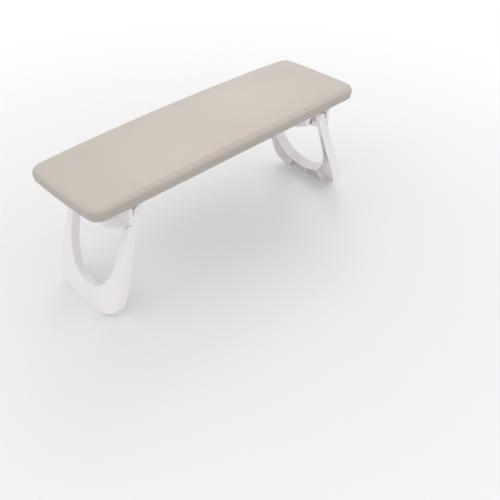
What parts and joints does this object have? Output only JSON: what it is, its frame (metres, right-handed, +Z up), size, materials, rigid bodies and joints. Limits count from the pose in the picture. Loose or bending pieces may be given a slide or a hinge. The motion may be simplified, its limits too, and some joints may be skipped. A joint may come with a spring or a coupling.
{
  "type": "manicure hand rest",
  "caption": "Padded wipe-clean arm and hand rest for manicure tables, standing on splayed loop legs that fold in under the board.",
  "frame": {"origin": "on the table top, under the middle of the rest", "axes": "+X along the board, towards the right end; +Y across the board, away from the picture's viewer; +Z up"},
  "size_m": [0.38, 0.118, 0.1479],
  "materials": {
    "pad_leather": "fine-grained greige leatherette, soft satin",
    "pad_foam": "open-cell foam sheet",
    "base_board": "raw fibreboard",
    "liner_fabric": "black non-woven lining",
    "white_plastic": "moulded white plastic, satin",
    "steel": "zinc-plated steel",
    "black_rubber": "black rubber"
  },
  "bodies": {
    "board": {"leather_cover": "pad_leather", "foam_pad": "pad_foam", "base_panel": "base_board", "underside_liner": "liner_fabric", "left_bracket": "white_plastic", "right_bracket": "white_plastic", "left_flange_screw_1": "steel", "left_flange_screw_2": "steel", "left_flange_screw_3": "steel", "left_flange_screw_4": "steel", "left_hinge_pin_front": "steel", "left_end_screw_front": "steel", "left_end_washer_front": "black_rubber", "left_hinge_pin_back": "steel", "left_end_screw_back": "steel", "left_end_washer_back": "black_rubber", "right_flange_screw_1": "steel", "right_flange_screw_2": "steel", "right_flange_screw_3": "steel", "right_flange_screw_4": "steel", "right_hinge_pin_front": "steel", "right_end_screw_front": "steel", "right_end_washer_front": "black_rubber", "right_hinge_pin_back": "steel", "right_end_screw_back": "steel", "right_end_washer_back": "black_rubber"},
    "right_leg": {"right_leg": "white_plastic"},
    "left_leg": {"left_leg": "white_plastic"}
  },
  "joints": [
    {"name": "right_leg_fold", "type": "hinge", "parent": "board", "child": "right_leg", "pos_m": [0.13805, 0, 0.1198], "axis": [0, 1, 0], "range_deg": [0, 109]},
    {"name": "left_leg_fold", "type": "hinge", "parent": "board", "child": "left_leg", "pos_m": [-0.13805, 0, 0.1198], "axis": [0, -1, 0], "range_deg": [0, 109]}
  ]
}
